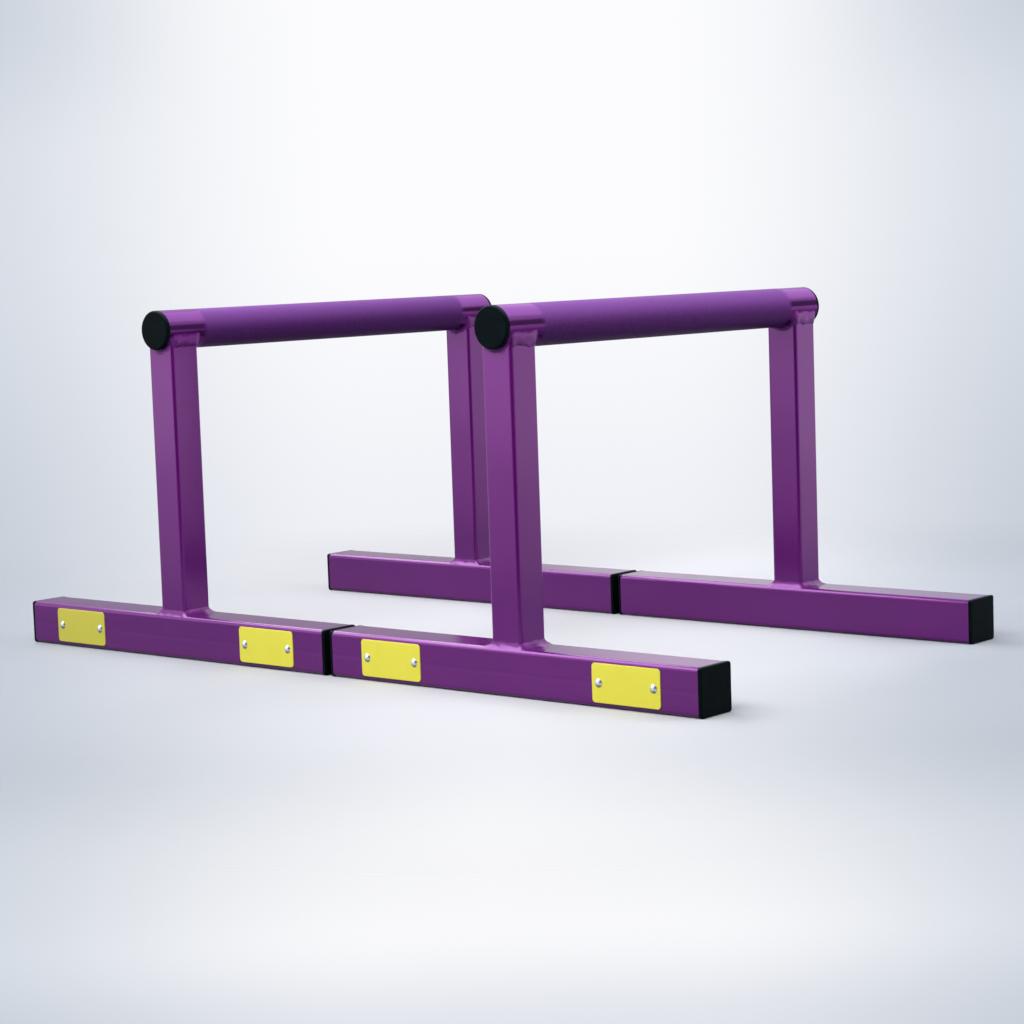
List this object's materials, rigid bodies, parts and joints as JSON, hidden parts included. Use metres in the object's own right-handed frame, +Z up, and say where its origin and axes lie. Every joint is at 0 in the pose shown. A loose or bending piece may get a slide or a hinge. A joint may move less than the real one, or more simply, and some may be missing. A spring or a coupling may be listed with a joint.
{
  "type": "parallette bars",
  "caption": "Free-standing welded steel parallettes: round grip handles on square posts over plugged square-tube feet with riveted plates.",
  "frame": {"origin": "on the floor, in the middle of the box of the two stands standing end to end", "axes": "+X along the feet towards the right-hand stand, +Y along the handles away from the plated front feet, +Z up"},
  "size_m": [1.004, 0.566, 0.4],
  "materials": {
    "gloss_paint": "purple gloss powder coat",
    "handle_paint": "purple powder coat, gloss ends and satin grip zone",
    "black_plastic": "matt moulded black",
    "plate_paint": "yellow satin coat, bare of print",
    "rivet_metal": "bright"
  },
  "bodies": {
    "left_stand": {"left_stand_front_foot": "gloss_paint", "left_stand_front_foot_left_plug": "black_plastic", "left_stand_front_foot_right_plug": "black_plastic", "left_stand_front_foot_weld": "gloss_paint", "left_stand_front_handle_cap": "black_plastic", "left_stand_front_handle_weld": "gloss_paint", "left_stand_front_post": "gloss_paint", "left_stand_handle_tube": "handle_paint", "left_stand_left_plate": "plate_paint", "left_stand_left_plate_rivets": "rivet_metal", "left_stand_rear_foot": "gloss_paint", "left_stand_rear_foot_left_plug": "black_plastic", "left_stand_rear_foot_right_plug": "black_plastic", "left_stand_rear_foot_weld": "gloss_paint", "left_stand_rear_handle_cap": "black_plastic", "left_stand_rear_handle_weld": "gloss_paint", "left_stand_rear_post": "gloss_paint", "left_stand_right_plate": "plate_paint", "left_stand_right_plate_rivets": "rivet_metal"},
    "right_stand": {"right_stand_front_foot": "gloss_paint", "right_stand_front_foot_left_plug": "black_plastic", "right_stand_front_foot_right_plug": "black_plastic", "right_stand_front_foot_weld": "gloss_paint", "right_stand_front_handle_cap": "black_plastic", "right_stand_front_handle_weld": "gloss_paint", "right_stand_front_post": "gloss_paint", "right_stand_handle_tube": "handle_paint", "right_stand_left_plate": "plate_paint", "right_stand_left_plate_rivets": "rivet_metal", "right_stand_rear_foot": "gloss_paint", "right_stand_rear_foot_left_plug": "black_plastic", "right_stand_rear_foot_right_plug": "black_plastic", "right_stand_rear_foot_weld": "gloss_paint", "right_stand_rear_handle_cap": "black_plastic", "right_stand_rear_handle_weld": "gloss_paint", "right_stand_rear_post": "gloss_paint", "right_stand_right_plate": "plate_paint", "right_stand_right_plate_rivets": "rivet_metal"}
  },
  "joints": [
    {"name": "stand_spacing", "type": "slide", "parent": "left_stand", "child": "right_stand", "axis": [1, 0, 0], "range_m": [0, 0.3]}
  ]
}
